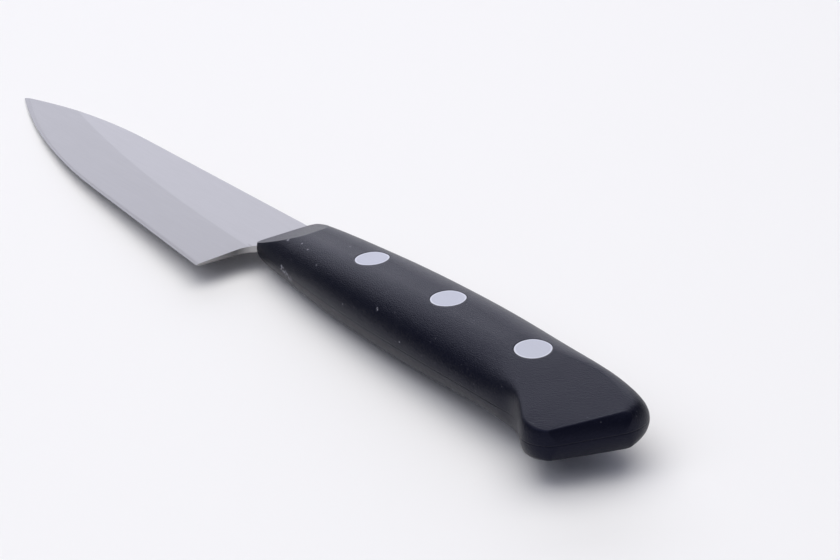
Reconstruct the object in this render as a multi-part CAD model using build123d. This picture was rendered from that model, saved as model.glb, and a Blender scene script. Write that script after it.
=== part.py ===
from build123d import *
import os
from math import asin, atan2, cos, degrees, radians, sin, sqrt, tan

# A kitchen knife that lies on its side: a ground steel blade with a hidden tang, held between
# two moulded handle scales by three two-part rivets.
#
# The knife is drawn flat first, in its own plane. X runs from the front of the handle (x = 0)
# to the butt, and the blade lies on the other side of it. Y runs from the cutting edge to the
# spine, with y = 0 on the line of rivets. Z points out of the left face, and z = 0 is the
# middle of the steel, where the two scales meet. Lengths are millimetres, angles degrees.

# Blade
blade_length = 128.5          # heel to tip
blade_height = 26.7           # spine to heel
blade_thickness = 1.3
spine_height = 6.2            # spine above the rivet line
spine_straight = 74.5         # straight part of the spine ahead of the handle
tip_drop = 7.5                # tip below the spine
edge_straight = 56.5          # straight part of the cutting edge ahead of the heel
edge_rise = 4.0               # angle at which that part climbs towards the tip
grind_height = 12.1           # grind line above the heel
grind_run = 106.0             # the grind line nears the spine this far ahead of the heel
grind_end_drop = 2.9          # and is this far below the spine's straight part there
grind_line_radius = 690.0
grind_angle = 2.25            # how steeply each face falls away below the grind line
edge_angle = 15.0             # sharpened edge, a side
choil_radius = 6.0

# Tang, the tail of the blade inside the handle
tang_thickness = 1.4          # as rolled, where the blade's flats are not ground down
tang_depth = 5.0              # lower side of the tang below the rivet line
tang_cover = 19.0             # handle behind the end of the tang
neck_lead = 0.3               # the full thickness starts this far ahead of the handle
neck_depth = 7.8              # and this far below the rivet line
tang_taper = 1.2              # the spine side ends this much lower
tang_end_radius = 3.0

# Handle outline
front_slant = 4.0             # off square, the belly end further forward
handle_length = 115.0         # on the rivet line
front_depth = 7.2             # belly below the rivet line at the front
grip_depth = 11.5             # belly below the rivet line in the grip
belly_arc_length = 65.0       # from the front to where the belly runs straight
hook_lead = 17.0              # the belly turns down into the hook this far ahead of the butt
hook_angle = 35.0
hook_radius = 8.0
toe_radius = 5.5
butt_slant = 21.3             # off square
front_height = 7.2            # spine side above the rivet line at the front
spine_side_straight = 28.0
spine_side_rise = 3.2         # angle of that straight part
peak_lead = 44.0              # the spine side is highest this far ahead of the butt
peak_height = 9.75
butt_height = 5.6             # spine side above the rivet line at the butt
belly_corner_radius = 3.6     # front corner on the belly side
spine_corner_radius = 2.2     # front corner on the spine side
butt_corner_radius = 6.5

# Handle section
grip_half_thickness = 6.6
butt_half_thickness = 3.35
toe_drop = 0.6                # how much thinner the scale is at the toe than at the spine
crown_apex = 52.0             # thickest place, behind the front
butt_toe_curve = 8.0          # radius of the butt across the two scales, at its toe end
butt_spine_curve = 4.2        # the same at its spine end
butt_toe_reach = 20.0         # how far along the butt from the rivet line those ends are
butt_spine_reach = 8.0
ramp_step = 0.25              # the ramp starts this far above the steel
ramp_angle = 18.0

ease_start_lead = 33.0        # the rounds start to narrow this far ahead of the butt
ease_end_lead = 12.0          # and end as the narrow rounds of the butt
grip_belly_share = 0.42       # of the width that the belly's round takes up
toe_belly_share = 0.05
grip_spine_share = 0.38
butt_spine_share = 0.18
front_shares = (0.08, 0.3, 0.6, 1)               # of the quarter turn round the front corner
grip_shares = (0.1, 0.3, 0.5, 0.7, 0.88)
fan_shares = (0, 0.2, 0.4, 0.6, 0.8, 1)
butt_shares = (0.5, 0.2, 0.05, 0)                # of the last stretch, which turns no further
grip_start = 3.4
fan_start_lead = 33.0         # the sections start to turn this far ahead of the butt
fan_end_lead = 4.0

# Rivets
rivet_diameter = 6.9
first_rivet = 35.5            # behind the front of the handle
last_rivet_lead = 27.5        # ahead of the butt
rivet_head_thickness = 2.4
tube_diameter = 4.6
pin_diameter = 3.2
rivet_end_gap = 0.4           # room past the end of the pin and of the tube

# Fits
pocket_clearance = 0.15       # scale to the sides of the tang
face_clearance = 0.02         # scale to the flats of the tang
shank_clearance = 0.1         # tube to the scales
tang_hole_clearance = 0.15    # tube to the tang
head_clearance = 0.03         # rivet head to its seat in the scale
press_clearance = 0.02        # pin to the bore of the tube

overrun = 40.0                # how far cutting shapes reach past the knife

half_steel = blade_thickness / 2
half_tang = tang_thickness / 2
tang_length = handle_length - tang_cover
crown_drop = grip_half_thickness - butt_half_thickness
crown_radius = ((handle_length - crown_apex) ** 2 + crown_drop ** 2) / (2 * crown_drop)
heel_y = spine_height - blade_height
tip = Vector(-blade_length, spine_height - tip_drop)
last_rivet = handle_length - last_rivet_lead
rivet_places = [first_rivet, (first_rivet + last_rivet) / 2, last_rivet]


def step(length, angle):
    """A step of this length in the drawing plane, at this angle from +X."""
    return Vector(length * cos(radians(angle)), length * sin(radians(angle)))


def slab(face, low, high):
    """A plan face made into a solid between two heights."""
    return Pos(0, 0, low) * extrude(face, amount=high - low, dir=(0, 0, 1))


def meet(start, angle, other, other_angle):
    """Where two lines in the drawing plane cross."""
    first = step(1, angle)
    second = step(1, other_angle)
    gap = other - start
    travel = (gap.X * second.Y - gap.Y * second.X) / (first.X * second.Y - first.Y * second.X)
    return start + first * travel


# Blade and tang
def cutting_edge(heel, end):
    """Straight at the heel, then one arc that climbs to the end point."""
    turn = heel + step(edge_straight / cos(radians(edge_rise)), 180 - edge_rise)
    return [Line(heel, turn), TangentArc(turn, end, tangent=turn - heel)]


def blade_outline():
    heel = Vector(0, heel_y)
    spine_turn = Vector(-spine_straight, spine_height)
    tang_top = Vector(tang_length, spine_height - tang_taper)
    tang_low = Vector(tang_length, -tang_depth)
    neck = Vector(choil_radius, -tang_depth)
    choil_top = Vector(0, -tang_depth - choil_radius)
    sides = cutting_edge(heel, tip)
    sides += [TangentArc(spine_turn, tip, tangent=(-1, 0))]
    sides += [Polyline(spine_turn, (0, spine_height), tang_top, tang_low, neck)]
    sides += [RadiusArc(choil_top, neck, choil_radius), Line(choil_top, heel)]
    face = make_face(Curve() + sides)
    return fillet(face.vertices().group_by(Axis.X)[-1], tang_end_radius)


def grind_centre():
    """The middle of the long arc that the grind line follows."""
    start = Vector(0, heel_y + grind_height)
    chord = Vector(-grind_run, spine_height - grind_end_drop) - start
    side = Vector(chord.Y, -chord.X).normalized()
    return start + chord / 2 + side * sqrt(grind_line_radius ** 2 - (chord.length / 2) ** 2)


def grind_form():
    """What the wheel leaves of the left face: a flat inside the grind line, a cone outside it."""
    fall = overrun * tan(radians(grind_angle))
    base = grind_line_radius + overrun
    top = (Align.CENTER, Align.CENTER, Align.MAX)
    middle = grind_centre()
    return Pos(middle.X, middle.Y, half_steel) * Cone(base, grind_line_radius, fall, align=top)


def sharpened_side():
    """The left half of the steel inside its sharpened edge."""
    heel = Vector(0, heel_y)
    behind = heel + step(overrun, -edge_rise)
    curves = cutting_edge(heel, tip)
    leave = curves[1] % 1
    ahead = tip + leave * overrun
    top = spine_height + overrun
    sides = [Polyline(behind, (behind.X, top), (ahead.X, top), ahead, tip)]
    sides += curves + [Line(behind, heel)]
    face = make_face(Curve() + sides)
    lean = 90 - edge_angle
    return extrude(face, amount=half_steel, dir=(0, 0, 1), taper=lean)


def neck_plan():
    """Everything behind a line just ahead of the handle's front."""
    corner = Pos(-neck_lead, -neck_depth)
    behind = Rectangle(2 * handle_length, 2 * overrun, align=(Align.MIN, Align.MIN))
    return Rot(0, 0, -front_slant) * corner * behind


def blade():
    outline = blade_outline()
    ahead = Rectangle(2 * blade_length, 2 * overrun, align=(Align.MAX, Align.CENTER))
    half = slab(outline, 0, half_steel) & grind_form()
    keen = half & slab(ahead, 0, half_steel) & sharpened_side()
    tail = half - slab(ahead, 0, half_steel)
    half = keen + tail + slab(outline & neck_plan(), 0, half_tang)
    body = half + mirror(half, about=Plane.XY)
    holes = [Pos(x, 0) * Circle(tube_diameter / 2 + tang_hole_clearance) for x in rivet_places]
    return body - slab(Sketch() + holes, -half_tang, half_tang)


# Handle scales
def handle_outline():
    """The handle seen from its side, with all its corners."""
    front_low = Vector(-front_depth * tan(radians(front_slant)), -front_depth)
    belly_end = Vector(belly_arc_length, -grip_depth)
    hook = Vector(handle_length - hook_lead, -grip_depth)
    butt = Vector(handle_length, 0)
    butt_angle = 90 - butt_slant
    toe = meet(hook, -hook_angle, butt, butt_angle)
    front_high = Vector(front_height * tan(radians(front_slant)), front_height)
    spine_turn = front_high + step(spine_side_straight, spine_side_rise)
    crown = meet(butt, butt_angle, Vector(0, butt_height), 0)
    peak = Vector(handle_length - peak_lead, peak_height)
    rise = TangentArc(spine_turn, peak, tangent=spine_turn - front_high)
    fall = TangentArc(peak, crown, tangent=rise % 1)
    belly = TangentArc(belly_end, front_low, tangent=(-1, 0))
    sides = [belly, Polyline(belly_end, hook, toe, crown), fall, rise]
    sides += [Polyline(spine_turn, front_high, front_low)]
    face = make_face(Curve() + sides)
    corners = (
        (front_low, belly_corner_radius),
        (front_high, spine_corner_radius),
        (hook, hook_radius),
        (toe, toe_radius),
        (crown, butt_corner_radius),
    )
    for point, radius in corners:
        face = fillet(face.vertices().sort_by_distance(point)[0], radius)
    return face


def crown_height(x):
    """Half the handle's thickness on the rivet line."""
    away = x - crown_apex
    return grip_half_thickness - crown_radius + sqrt(crown_radius ** 2 - away ** 2)


def stations():
    """Where the handle is sectioned: the place on the rivet line and the turn off square."""
    for share in front_shares:
        behind = belly_corner_radius * (1 - cos(radians(90 * share)))
        yield behind / cos(radians(front_slant)), front_slant
    fan_start = handle_length - fan_start_lead
    fan_end = handle_length - fan_end_lead
    for share in grip_shares:
        yield grip_start + share * (fan_start - grip_start), front_slant * (1 - share)
    for share in fan_shares:
        yield fan_start + share * (fan_end - fan_start), share * butt_slant
    for share in butt_shares:
        yield handle_length - share * fan_end_lead, butt_slant


def blend(x, grip_value, butt_value):
    """A share that eases from its value in the grip to its value at the butt."""
    past = ease_start_lead - (handle_length - x)
    share = min(max(past / (ease_start_lead - ease_end_lead), 0), 1)
    return grip_value + share * share * (3 - 2 * share) * (butt_value - grip_value)


def section(outline, x, turn):
    """Half a slice of the handle: a rounded belly, a flat top and a rounded spine side."""
    across = step(overrun, 90 - turn)
    cut = (outline & Line(Vector(x, 0) - across, Vector(x, 0) + across)).edges()[0]
    low, high = sorted([cut @ 0, cut @ 1], key=lambda point: point.Y)
    width = (high - low).length
    along = (high - low).normalized()
    height = crown_height(x)
    belly_round = width * blend(x, grip_belly_share, toe_belly_share)
    spine_round = width * blend(x, grip_spine_share, butt_spine_share)
    slice_plane = Plane(origin=low, x_dir=along, z_dir=along.cross(Vector(0, 0, 1)))
    belly_height = height - blend(x, 0, toe_drop)
    belly_top = (belly_round, belly_height)
    spine_top = (width - spine_round, height)
    sides = [
        EllipticalCenterArc((belly_round, 0), belly_round, belly_height, 90, arc_size=90),
        Line(belly_top, spine_top),
        EllipticalCenterArc((width - spine_round, 0), spine_round, height, 0, arc_size=90),
        Line((width, 0), (0, 0)),
    ]
    return slice_plane * make_face(Curve() + sides)


def butt_cutter():
    """Everything behind the butt, which is rounded across the two scales."""
    butt_angle = 90 - butt_slant
    centres = []
    discs = []
    ends = ((-butt_toe_reach, butt_toe_curve), (butt_spine_reach, butt_spine_curve))
    for along, radius in ends:
        edge = Vector(handle_length, 0) + step(along, butt_angle)
        centre = edge + step(radius, butt_angle + 90)
        centres.append(centre)
        discs.append(Plane(origin=centre, z_dir=step(1, butt_angle)) * Circle(radius))
    away = step(overrun, -butt_slant)
    corners = centres + [centres[1] + away, centres[0] + away]
    behind = slab(make_face(Polyline(*corners, close=True)), -overrun, overrun)
    return behind - loft(discs, ruled=True)


def scale_blank():
    """The left half of the handle before anything is cut into it."""
    outline = handle_outline()
    slices = [section(outline, x, turn) for x, turn in stations()]
    return loft(slices) - butt_cutter()


def ramp_cutter():
    """The sloping flat that the front of the scale is cut back to, down to the blade."""
    start = Vector(0, 0, half_steel + ramp_step)
    away = Box(2 * overrun, 2 * overrun, overrun, align=(Align.CENTER, Align.CENTER, Align.MIN))
    return Pos(start) * Rot(0, -ramp_angle, 0) * away


def tang_pocket():
    """Room for the tang, and for the neck of the blade at the front."""
    room = offset(blade_outline(), pocket_clearance)
    depth = half_tang + face_clearance
    return slab(room, -depth, depth)


def rivet_seat(x):
    """The height that the underside of a rivet's head rests at."""
    return crown_height(x) - rivet_head_thickness


def left_scale(blank):
    scale = blank - ramp_cutter() - tang_pocket()
    for x in rivet_places:
        shank_hole = Circle(tube_diameter / 2 + shank_clearance)
        head_hole = Circle(rivet_diameter / 2 + head_clearance)
        scale -= slab(Pos(x, 0) * shank_hole, -overrun, overrun)
        scale -= slab(Pos(x, 0) * head_hole, rivet_seat(x), overrun)
    return scale


# Rivets
def rivet_head(blank, x):
    """The flat head on the left side, shaped to lie flush with the scale."""
    stem = slab(Pos(x, 0) * Circle(rivet_diameter / 2), rivet_seat(x), overrun)
    return blank & stem


def rivet_pin(blank, x):
    """The left half of a rivet: its head and a solid pin."""
    seat = rivet_seat(x)
    pin = slab(Pos(x, 0) * Circle(pin_diameter / 2), rivet_end_gap - seat, seat)
    return rivet_head(blank, x) + pin


def rivet_tube(blank, x):
    """The right half of a rivet: its head and a tube that the pin is pressed into."""
    seat = rivet_seat(x)
    bore = pin_diameter / 2 + press_clearance
    ring = Circle(tube_diameter / 2) - Circle(bore)
    tube = slab(Pos(x, 0) * ring, -seat, seat - rivet_end_gap)
    return mirror(rivet_head(blank, x), about=Plane.XY) + tube


def knife():
    """Every piece by its name, still flat in the drawing plane."""
    blank = scale_blank()
    left = left_scale(blank)
    pieces = {"blade": blade(), "left_scale": left, "right_scale": mirror(left, about=Plane.XY)}
    for place, x in zip(("front", "middle", "rear"), rivet_places):
        pieces[f"{place}_rivet_tube"] = rivet_tube(blank, x)
        pieces[f"{place}_rivet_pin"] = rivet_pin(blank, x)
    return pieces


# Lying on the table
def tip_half_thickness():
    """Half the steel left at the tip, which lies below the grind line."""
    below = (tip - grind_centre()).length - grind_line_radius
    return half_steel - below * tan(radians(grind_angle))


def lying_tilt():
    """The tilt about Y that lets the tip and the curved side of the handle both touch down."""
    run = crown_apex - tip.X
    rise = crown_radius - grip_half_thickness + tip_half_thickness()
    return degrees(atan2(rise, run) - asin(crown_radius / sqrt(run ** 2 + rise ** 2)))


def lay_down(pieces):
    """The pieces as they lie, with the middle of their footprint at the origin."""
    laid = {name: Rot(0, lying_tilt(), 0) * piece for name, piece in pieces.items()}
    room = Compound(list(laid.values())).bounding_box()
    shift = Pos(-room.center().X, -room.center().Y, -room.min.Z)
    return {name: shift * piece for name, piece in laid.items()}


if __name__ == "__main__":
    os.makedirs("parts", exist_ok=True)
    for name, piece in lay_down(knife()).items():
        export_step(piece, f"parts/{name}.step")
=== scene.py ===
import bpy
from math import cos, pi, radians, sin
from mathutils import Matrix, Vector

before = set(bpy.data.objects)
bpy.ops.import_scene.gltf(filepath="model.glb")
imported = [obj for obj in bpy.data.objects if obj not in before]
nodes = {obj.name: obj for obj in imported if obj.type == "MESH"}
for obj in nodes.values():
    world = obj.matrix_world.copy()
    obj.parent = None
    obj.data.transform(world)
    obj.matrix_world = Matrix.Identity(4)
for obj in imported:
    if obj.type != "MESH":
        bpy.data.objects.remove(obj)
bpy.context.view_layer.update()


# Camera
# A 90 mm lens on a 36 mm wide sensor, low over the butt of the handle and looking along the knife
# to the tip.
camera_place = Vector((0.357566, -0.182708, 0.183288))
camera_right = Vector((0.556552, 0.828518, -0.061705))
camera_up = Vector((-0.328225, 0.287496, 0.899786))

lens = bpy.data.cameras.new("camera")
lens.lens = 90
lens.sensor_width = 36
camera = bpy.data.objects.new("camera", lens)
bpy.context.scene.collection.objects.link(camera)
camera_back = camera_right.cross(camera_up)
turn = Matrix((camera_right, camera_up, camera_back)).transposed()
camera.matrix_world = Matrix.Translation(camera_place) @ turn.to_4x4()
bpy.context.scene.camera = camera


# Blade
# Stainless steel, ground thinner towards the edge below a long, slightly bowed line and finished on
# a fine satin belt. The belt leaves hairlines along the blade, so its sheen is a soft, pale grey,
# and the ground part is a shade darker than the flat above it.
def linear(code):
    """The linear colour of an sRGB hex value."""
    parts = [int(code[i:i + 2], 16) / 255 for i in (1, 3, 5)]
    return [p / 12.92 if p <= 0.04045 else ((p + 0.055) / 1.055) ** 2.4 for p in parts] + [1]


def add(tree, kind, settings=None, **links):
    """A node with its settings, and its inputs by name or as i and a number, each a value or
    another node's output."""
    node = tree.nodes.new(kind)
    for name, value in (settings or {}).items():
        setattr(node, name, value)
    for name, value in links.items():
        key = int(name[1:]) if name[0] == "i" and name[1:].isdigit() else name.replace("_", " ")
        if isinstance(value, bpy.types.NodeSocket):
            tree.links.new(value, node.inputs[key])
        else:
            node.inputs[key].default_value = value
    return node


def new_material(name):
    """An empty material, its tree and its output."""
    material = bpy.data.materials.new(name)
    material.use_nodes = True
    material.node_tree.nodes.clear()
    output = material.node_tree.nodes.new("ShaderNodeOutputMaterial")
    return material, material.node_tree, output


def dress(names, material):
    """Gives the CAD nodes of these names this material."""
    for name in names:
        for place in nodes[name].material_slots:
            place.material = material


# The knife lies tilted, and these turn a place on it back to its own axes in millimetres: X from
# the front of the handle to the butt, Y from the rivets to the spine, Z out of the left side.
lying_tilt = radians(-2.1354)
lying_shift = Vector((0.0068949, 0.0053585, 0.0050868))


def knife_axes(tree):
    place = add(tree, "ShaderNodeTexCoord").outputs["Object"]
    return add(tree, "ShaderNodeMapping", {"vector_type": "TEXTURE"}, Vector=place,
               Location=lying_shift, Rotation=(0, lying_tilt, 0), Scale=(0.001,) * 3).outputs[0]


steel_flat_color = "#a7a6a7"
steel_ground_color = "#9f9e9f"
steel_roughness = (0.30, 0.42)
grind_middle = (22.47, 681.23, 0)  # of the long arc that the grind line follows
grind_radius = 690.0
grind_blur = 0.15
# The belt's lines are about 0.05 mm wide, too fine to show, so they are drawn five times as wide.
hairline_length = 9.0
hairline_width = 0.25
hairline_strength = 0.04
relief_depth = 0.0001  # of the lines, grain and scratches, in metres

satin_steel, tree, output = new_material("satin_stainless_steel")
place = knife_axes(tree)
plan = add(tree, "ShaderNodeVectorMath", {"operation": "MULTIPLY"}, i0=place, i1=(1, 1, 0))
to_middle = add(tree, "ShaderNodeVectorMath", {"operation": "DISTANCE"}, i0=plan.outputs[0],
                i1=grind_middle)
ground = add(tree, "ShaderNodeMapRange", Value=to_middle.outputs["Value"],
             From_Min=grind_radius - grind_blur, From_Max=grind_radius + grind_blur)
along = add(tree, "ShaderNodeMapping", Vector=place,
            Scale=(1 / hairline_length, 1 / hairline_width, 1))
hairlines = add(tree, "ShaderNodeTexNoise", Vector=along.outputs[0], Scale=1.0, Detail=3,
                Roughness=0.6)
shade = add(tree, "ShaderNodeMix", {"data_type": "RGBA"}, Factor=ground.outputs[0],
            i6=linear(steel_flat_color), i7=linear(steel_ground_color))
rough = add(tree, "ShaderNodeMapRange", Value=hairlines.outputs[0], To_Min=steel_roughness[0],
            To_Max=steel_roughness[1])
bump = add(tree, "ShaderNodeBump", Height=hairlines.outputs[0], Strength=hairline_strength,
           Distance=relief_depth)
surface = add(tree, "ShaderNodeBsdfPrincipled", Base_Color=shade.outputs[2], Metallic=1.0,
              Roughness=rough.outputs[0], Normal=bump.outputs[0])
tree.links.new(surface.outputs[0], output.inputs[0])
dress(["blade"], satin_steel)


# Handle scales
# Two halves moulded in black acetal and riveted over the tang. The fine pebbled grain of a
# spark-eroded mould makes the gloss broad, dull and bluish, so the index is set below acetal's own
# 1.48. Use has left a pale scuff by the blade, small nicks and specks of dust.
plastic_color = "#050610"
plastic_sheen = "#c6cbff"
acetal_index = 1.32
acetal_roughness = (0.30, 0.38)
# The grain is about 0.1 mm across, too fine to show, so it is drawn twice as coarse.
grain_size = 0.22
grain_strength = 0.9
wear_patches = 0.12  # to the millimetre
edge_softness = 0.00035  # metres
scuff_color = "#8d8d96"
scuff_start = Vector((14.6, -8.6, 0.5))
scuff_end = Vector((18.4, -8.9, -0.6))
scuff_spots = 7
scuff_radius = 0.8
scuff_breaks = 1.8  # to the millimetre
scuff_edge = (0.47, 0.60)  # the height of the noise where the scuff begins and is full
mark_depth = 0.15  # how much a mark's distance out of the surface counts
nick_cover = 0.9
top_nicks = (  # the place and the radius of each
    ((11.8, -5.2, 4.7), 0.35),
    ((16.6, -4.7, 5.2), 0.22),
    ((20.0, -5.4, 5.2), 0.24),
    ((26.6, -7.5, 4.5), 0.16),
    ((26.8, 0.4, 6.2), 0.22),
    ((40.6, 3.8, 6.2), 0.16),
)
side_nicks = (
    ((37.5, -10.7, -0.5), 0.18),
    ((40.8, -10.6, 1.8), 0.16),
    ((51.4, -9.3, 4.2), 0.16),
    ((51.8, -9.6, 4.0), 0.18),
    ((61.5, -11.2, 1.4), 0.17),
)
dust_spacing = 1.7
dust_radius = 0.1
dust_cover = 0.7

acetal, tree, output = new_material("moulded_black_acetal")
place = knife_axes(tree)
breaks = add(tree, "ShaderNodeTexNoise", Vector=place, Scale=scuff_breaks, Detail=3)
broken = add(tree, "ShaderNodeMapRange", Value=breaks.outputs[0], From_Min=scuff_edge[0],
             From_Max=scuff_edge[1])
dust = add(tree, "ShaderNodeTexVoronoi", Vector=place, Scale=1 / dust_spacing)
speck = add(tree, "ShaderNodeMapRange", Value=dust.outputs["Distance"],
            From_Min=dust_radius / dust_spacing, From_Max=dust_radius / 2 / dust_spacing,
            To_Max=dust_cover)
marks = speck.outputs[0]
scuff = [(scuff_start.lerp(scuff_end, i / (scuff_spots - 1)), scuff_radius)
         for i in range(scuff_spots)]
groups = (
    ((1, mark_depth, 1), scuff, broken.outputs[0]),
    ((1, mark_depth, 1), side_nicks, nick_cover),
    ((1, 1, mark_depth), top_nicks, nick_cover),
)
for flatten, spots, cover in groups:
    squashed = add(tree, "ShaderNodeVectorMath", {"operation": "MULTIPLY"}, i0=place, i1=flatten)
    for spot, radius in spots:
        away = add(tree, "ShaderNodeVectorMath", {"operation": "DISTANCE"},
                   i0=squashed.outputs[0], i1=[a * b for a, b in zip(spot, flatten)])
        inside = add(tree, "ShaderNodeMapRange", Value=away.outputs["Value"], From_Min=radius,
                     From_Max=radius / 2)
        mark = add(tree, "ShaderNodeMath", {"operation": "MULTIPLY"}, i0=inside.outputs[0],
                   i1=cover)
        marks = add(tree, "ShaderNodeMath", {"operation": "MAXIMUM"}, i0=marks,
                    i1=mark.outputs[0]).outputs[0]
shade = add(tree, "ShaderNodeMix", {"data_type": "RGBA"}, Factor=marks, i6=linear(plastic_color),
            i7=linear(scuff_color))
grain = add(tree, "ShaderNodeTexNoise", Vector=place, Scale=1 / grain_size, Detail=2,
            Roughness=0.5)
wear = add(tree, "ShaderNodeTexNoise", Vector=place, Scale=wear_patches, Detail=3)
rough = add(tree, "ShaderNodeMapRange", Value=wear.outputs[0], To_Min=acetal_roughness[0],
            To_Max=acetal_roughness[1])
soft_edge = add(tree, "ShaderNodeBevel", {"samples": 8}, Radius=edge_softness)
bump = add(tree, "ShaderNodeBump", Height=grain.outputs[0], Strength=grain_strength,
           Distance=relief_depth, Normal=soft_edge.outputs[0])
surface = add(tree, "ShaderNodeBsdfPrincipled", Base_Color=shade.outputs[2],
              Roughness=rough.outputs[0], Normal=bump.outputs[0], IOR=acetal_index,
              Specular_Tint=linear(plastic_sheen))
tree.links.new(surface.outputs[0], output.inputs[0])
dress(["left_scale", "right_scale"], acetal)


# Rivets
# Two-part cutler's rivets of aluminium, pressed together through both scales and sanded flush
# with them. The sanding leaves fine scratches and an even, pale sheen. A painted highlight makes
# each head a little lighter at its rim, and a thin dark ring is drawn at the joint round each head.
rivet_color = "#bec0c9"
# painted highlight: the lighter colour drawn at the rim of each head
painted_rim_highlight_color = "#cfd1d9"
joint_color = "#2b2c34"
aluminium_roughness = (0.44, 0.60)
first_rivet = 35.5
rivet_pitch = 26.0
head_radius = 3.45
painted_rim_highlight_width = 0.5
joint_width = 0.09
joint_blur = 0.3  # of its width
# The scratches are about 0.05 mm wide, too fine to show, so they are drawn four times as wide.
scratch_length = 5.0
scratch_width = 0.2
scratch_angle = radians(56)
scratch_strength = 0.12

aluminium, tree, output = new_material("sanded_aluminium")
place = knife_axes(tree)
# Every rivet is brought to the place of the first, so that one drawing serves all three.
plan = add(tree, "ShaderNodeVectorMath", {"operation": "WRAP"}, i0=place,
           i1=(first_rivet + rivet_pitch / 2, rivet_pitch / 2, 1),
           i2=(first_rivet - rivet_pitch / 2, -rivet_pitch / 2, 0))
flat = add(tree, "ShaderNodeVectorMath", {"operation": "MULTIPLY"}, i0=plan.outputs[0],
           i1=(1, 1, 0))
out = add(tree, "ShaderNodeVectorMath", {"operation": "DISTANCE"}, i0=flat.outputs[0],
          i1=(first_rivet, 0, 0))
# Painted highlight: a band at the rim of each head is drawn lighter.
painted_rim_highlight = add(tree, "ShaderNodeMapRange", Value=out.outputs["Value"],
          From_Min=head_radius - painted_rim_highlight_width, From_Max=head_radius - painted_rim_highlight_width / 2)
joint = add(tree, "ShaderNodeMapRange", Value=out.outputs["Value"],
            From_Min=head_radius - (1 + joint_blur) * joint_width,
            From_Max=head_radius - (1 - joint_blur) * joint_width)
metal = add(tree, "ShaderNodeMix", {"data_type": "RGBA"}, Factor=painted_rim_highlight.outputs[0],
            i6=linear(rivet_color), i7=linear(painted_rim_highlight_color))
shade = add(tree, "ShaderNodeMix", {"data_type": "RGBA"}, Factor=joint.outputs[0],
            i6=metal.outputs[2], i7=linear(joint_color))
slanted = add(tree, "ShaderNodeMapping", Vector=place, Rotation=(0, 0, -scratch_angle),
              Scale=(1 / scratch_length, 1 / scratch_width, 1))
scratches = add(tree, "ShaderNodeTexNoise", Vector=slanted.outputs[0], Scale=1.0, Detail=3,
                Roughness=0.6)
rough = add(tree, "ShaderNodeMapRange", Value=scratches.outputs[0],
            To_Min=aluminium_roughness[0], To_Max=aluminium_roughness[1])
bump = add(tree, "ShaderNodeBump", Height=scratches.outputs[0], Strength=scratch_strength,
           Distance=relief_depth)
surface = add(tree, "ShaderNodeBsdfPrincipled", Base_Color=shade.outputs[2], Metallic=1.0,
              Roughness=rough.outputs[0], Normal=bump.outputs[0])
tree.links.new(surface.outputs[0], output.inputs[0])
dress([name for name in nodes if "rivet" in name], aluminium)


# Floor and light
# A plain pale worktop in a dim room, under three large soft lights: one overhead, one high in front
# of the cutting edge, and a low one beyond the spine, near the tip, that gives the handle, the
# rivets and the blade their sheen.
floor_color = "#f3f2f1"
floor_roughness = 0.6
floor_size = 8.0
room_color = "#ccd6ff"
room_strength = 0.15

floor_mesh = bpy.data.meshes.new("floor")
reach = floor_size / 2
corners = [(-reach, -reach, 0), (reach, -reach, 0), (reach, reach, 0), (-reach, reach, 0)]
floor_mesh.from_pydata(corners, [], [(0, 1, 2, 3)])
floor = bpy.data.objects.new("floor", floor_mesh)
bpy.context.scene.collection.objects.link(floor)
worktop, tree, output = new_material("pale_worktop")
surface = add(tree, "ShaderNodeBsdfPrincipled", Base_Color=linear(floor_color),
              Roughness=floor_roughness)
tree.links.new(surface.outputs[0], output.inputs[0])
floor_mesh.materials.append(worktop)


def soft_light(name, azimuth, elevation, distance, size, radiance, color):
    """A panel that faces the knife, with its distance and size in metres. Azimuth 0 is the side
    of the cutting edge, 90 the butt."""
    lamp = bpy.data.lights.new(name, "AREA")
    lamp.shape = "RECTANGLE"
    lamp.size, lamp.size_y = size
    lamp.energy = radiance * pi * size[0] * size[1]
    lamp.color = linear(color)[:3]
    a, e = radians(azimuth), radians(elevation)
    away = Vector((sin(a) * cos(e), -cos(a) * cos(e), sin(e)))
    panel = bpy.data.objects.new(name, lamp)
    panel.location = away * distance
    panel.rotation_euler = away.to_track_quat("Z", "Y").to_euler()
    bpy.context.scene.collection.objects.link(panel)


soft_light("overhead_light", 225, 86, 1.2, (1.6, 1.6), 1.75, "#fffdf8")
soft_light("front_light", 20, 52, 1.6, (2.2, 1.2), 1.3, "#f6f7ff")
soft_light("back_light", 238, 20, 1.6, (1.7, 1.1), 1.46, "#f4f4ff")

world = bpy.data.worlds.new("room")
bpy.context.scene.world = world
world.use_nodes = True
sky = world.node_tree.nodes["Background"]
sky.inputs["Color"].default_value = linear(room_color)
sky.inputs["Strength"].default_value = room_strength

bpy.context.scene.view_settings.view_transform = "Standard"
